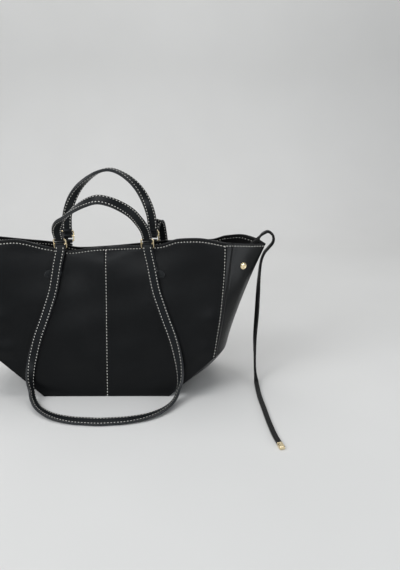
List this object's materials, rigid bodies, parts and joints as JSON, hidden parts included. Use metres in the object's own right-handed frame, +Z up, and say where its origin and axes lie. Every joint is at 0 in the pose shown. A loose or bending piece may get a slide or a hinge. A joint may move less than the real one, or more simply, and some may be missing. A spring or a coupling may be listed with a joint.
{
  "type": "handbag",
  "caption": "Winged trapeze tote bag of smooth leather with short arched handles, long carrying straps on three-bar rings, wing snaps and a side lace.",
  "frame": {"origin": "middle of the flat base, on the surface the bag stands on", "axes": "+Z up, the front faces -Y, the right wing with the lace points along +X"},
  "size_m": [0.5657, 0.3908, 0.38],
  "materials": {
    "body_leather": "smooth, soft sheen",
    "strap_leather": "smooth, soft sheen",
    "facing_leather": "matt",
    "lace_leather": "soft sheen",
    "lining": "matt",
    "board": "matt fibreboard",
    "gold_hardware": "polished, pale gold"
  },
  "bodies": {
    "bag": {"base_panel": "body_leather", "front_panel_left": "body_leather", "front_panel_right": "body_leather", "back_panel_left": "body_leather", "back_panel_right": "body_leather", "gusset_left": "body_leather", "gusset_right": "body_leather", "front_facing": "facing_leather", "back_facing": "facing_leather", "lining": "lining", "base_board": "board", "front_chape_left": "strap_leather", "front_chape_right": "strap_leather", "back_chape_left": "strap_leather", "back_chape_right": "strap_leather", "snap_cap_front_left": "gold_hardware", "snap_cap_front_right": "gold_hardware", "snap_cap_back_left": "gold_hardware", "snap_cap_back_right": "gold_hardware", "snap_socket_left": "gold_hardware", "snap_socket_right": "gold_hardware", "snap_stud_left": "gold_hardware", "snap_stud_right": "gold_hardware", "lace_anchor_left": "lace_leather", "lace_anchor_right": "lace_leather", "side_lace": "lace_leather", "lace_tip": "gold_hardware"},
    "front_ring_left": {"front_ring_left": "gold_hardware"},
    "front_ring_right": {"front_ring_right": "gold_hardware"},
    "back_ring_left": {"back_ring_left": "gold_hardware"},
    "back_ring_right": {"back_ring_right": "gold_hardware"},
    "front_handle": {"front_handle": "strap_leather"},
    "back_handle": {"back_handle": "strap_leather"},
    "front_strap": {"front_strap": "strap_leather"},
    "back_strap": {"back_strap": "strap_leather"}
  },
  "joints": [
    {"name": "front_ring_left_swing", "type": "hinge", "parent": "bag", "child": "front_ring_left", "pos_m": [-0.0735, -0.01322, 0.25], "axis": [1, 0, 0], "range_deg": [-20, 0]},
    {"name": "front_ring_right_swing", "type": "hinge", "parent": "bag", "child": "front_ring_right", "pos_m": [0.0735, -0.01322, 0.25], "axis": [1, 0, 0], "range_deg": [-20, 0]},
    {"name": "back_ring_left_swing", "type": "hinge", "parent": "bag", "child": "back_ring_left", "pos_m": [-0.0665, 0.01228, 0.2555], "axis": [-1, 0, 0], "range_deg": [-5, 0]},
    {"name": "back_ring_right_swing", "type": "hinge", "parent": "bag", "child": "back_ring_right", "pos_m": [0.0805, 0.01228, 0.2555], "axis": [-1, 0, 0], "range_deg": [-5, 0]},
    {"name": "front_handle_swing", "type": "hinge", "parent": "front_ring_left", "child": "front_handle", "pos_m": [-0.0735, -0.01938, 0.26691], "axis": [-1, 0, 0], "range_deg": [-45, 15]},
    {"name": "back_handle_swing", "type": "hinge", "parent": "back_ring_left", "child": "back_handle", "pos_m": [-0.0665, 0.01479, 0.27332], "axis": [-1, 0, 0], "range_deg": [-30, 4]},
    {"name": "front_strap_lift", "type": "hinge", "parent": "front_ring_left", "child": "front_strap", "pos_m": [-0.0735, -0.0163, 0.25846], "axis": [1, 0, 0], "range_deg": [-70, 0]},
    {"name": "back_strap_swing", "type": "hinge", "parent": "back_ring_left", "child": "back_strap", "pos_m": [-0.0665, 0.01354, 0.26441], "axis": [-1, 0, 0], "range_deg": [-6, 0]}
  ],
  "couplings": [
    {"joint": "front_ring_right_swing", "follows": "front_ring_left_swing", "ratio": 1},
    {"joint": "back_ring_right_swing", "follows": "back_ring_left_swing", "ratio": 1}
  ]
}
